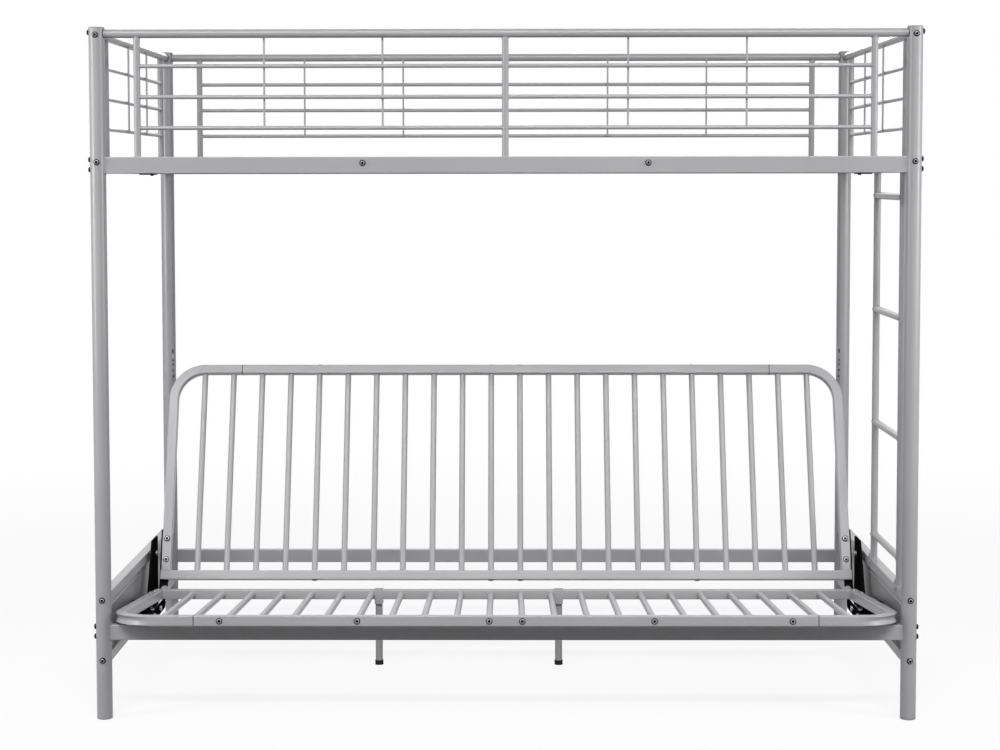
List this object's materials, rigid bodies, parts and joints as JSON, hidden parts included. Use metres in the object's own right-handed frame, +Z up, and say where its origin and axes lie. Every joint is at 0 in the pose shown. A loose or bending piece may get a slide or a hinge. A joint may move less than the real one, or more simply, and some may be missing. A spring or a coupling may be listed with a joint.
{
  "type": "sofa to bunk bed",
  "caption": "Metal bunk bed with a slatted upper deck, guard rails and an end ladder over a futon sofa whose seat slides forward as its backrest folds flat into a bed.",
  "frame": {"origin": "centre of the bounding box at floor level, with the sofa set up as a sofa", "axes": "+X along the bed towards the ladder end, +Y from the open front of the sofa to the rear, +Z up"},
  "size_m": [2.0088, 1.0526, 1.681],
  "materials": {
    "silver_paint": "satin silver-grey powder coat",
    "black_steel": "satin black",
    "black_rubber": "matt",
    "cap_plastic": "matt silver-grey",
    "zinc_steel": "zinc plated",
    "bolt_steel": "dark plated heads"
  },
  "bodies": {
    "frame": {"deck_corner_clips": "black_steel", "deck_cross_supports": "silver_paint", "deck_ledges": "silver_paint", "deck_slats": "silver_paint", "end_guard_bars": "silver_paint", "end_guard_top_rails": "silver_paint", "end_guard_uprights": "silver_paint", "end_guard_wires": "silver_paint", "frame_bolts": "bolt_steel", "front_bunk_rail": "silver_paint", "front_guard_bars": "silver_paint", "front_guard_top_rail": "silver_paint", "front_guard_uprights": "silver_paint", "front_left_post": "silver_paint", "front_right_post": "silver_paint", "guide_bolts": "zinc_steel", "guide_plates": "black_steel", "guide_spacers": "zinc_steel", "ladder_rungs": "silver_paint", "ladder_stiles": "silver_paint", "ladder_straps": "silver_paint", "left_bunk_rail": "silver_paint", "left_panel_rails": "silver_paint", "long_guard_wires": "silver_paint", "lower_front_rail": "silver_paint", "lower_rear_rail": "silver_paint", "post_caps": "cap_plastic", "post_catches": "silver_paint", "post_feet": "cap_plastic", "rail_end_nuts": "zinc_steel", "rear_bunk_rail": "silver_paint", "rear_guard_bars": "silver_paint", "rear_guard_top_rail": "silver_paint", "rear_guard_uprights": "silver_paint", "rear_left_post": "silver_paint", "rear_right_post": "silver_paint", "right_bunk_rail": "silver_paint", "right_panel_rails": "silver_paint", "side_panel_sheets": "silver_paint"},
    "carriage": {"carriage_inner_plates": "black_steel", "carriage_outer_plates": "black_steel", "carriage_pins": "zinc_steel"},
    "seat": {"seat_corner_tubes": "silver_paint", "seat_front_rail": "silver_paint", "seat_rear_rail": "silver_paint", "seat_slats": "silver_paint", "seat_joint_sleeves": "zinc_steel", "seat_bolts": "bolt_steel", "leg_saddles": "silver_paint", "centre_legs": "silver_paint", "leg_feet": "black_rubber", "seat_horns": "silver_paint", "hinge_pins": "zinc_steel"},
    "backrest": {"backrest_arms": "black_steel", "backrest_bolts": "bolt_steel", "backrest_bottom_rail": "silver_paint", "backrest_corner_tubes": "silver_paint", "backrest_joint_sleeves": "zinc_steel", "backrest_slats": "silver_paint", "backrest_top_rail": "silver_paint"}
  },
  "joints": [
    {"name": "seat_slide", "type": "slide", "parent": "frame", "child": "carriage", "axis": [0, -0.9692, 0.2462], "range_m": [0, 0.15476]},
    {"name": "seat_tilt", "type": "hinge", "parent": "carriage", "child": "seat", "pos_m": [0, -0.01102, 0.21], "axis": [1, 0, 0], "range_deg": [0, 5.01]},
    {"name": "backrest_fold", "type": "hinge", "parent": "seat", "child": "backrest", "pos_m": [0, 0.04562, 0.20401], "axis": [1, 0, 0], "range_deg": [-76.02, 0]}
  ],
  "couplings": [
    {"joint": "seat_tilt", "follows": "seat_slide", "rad_per_m": 0.56387},
    {"joint": "backrest_fold", "follows": "seat_slide", "rad_per_m": -8.5709}
  ]
}
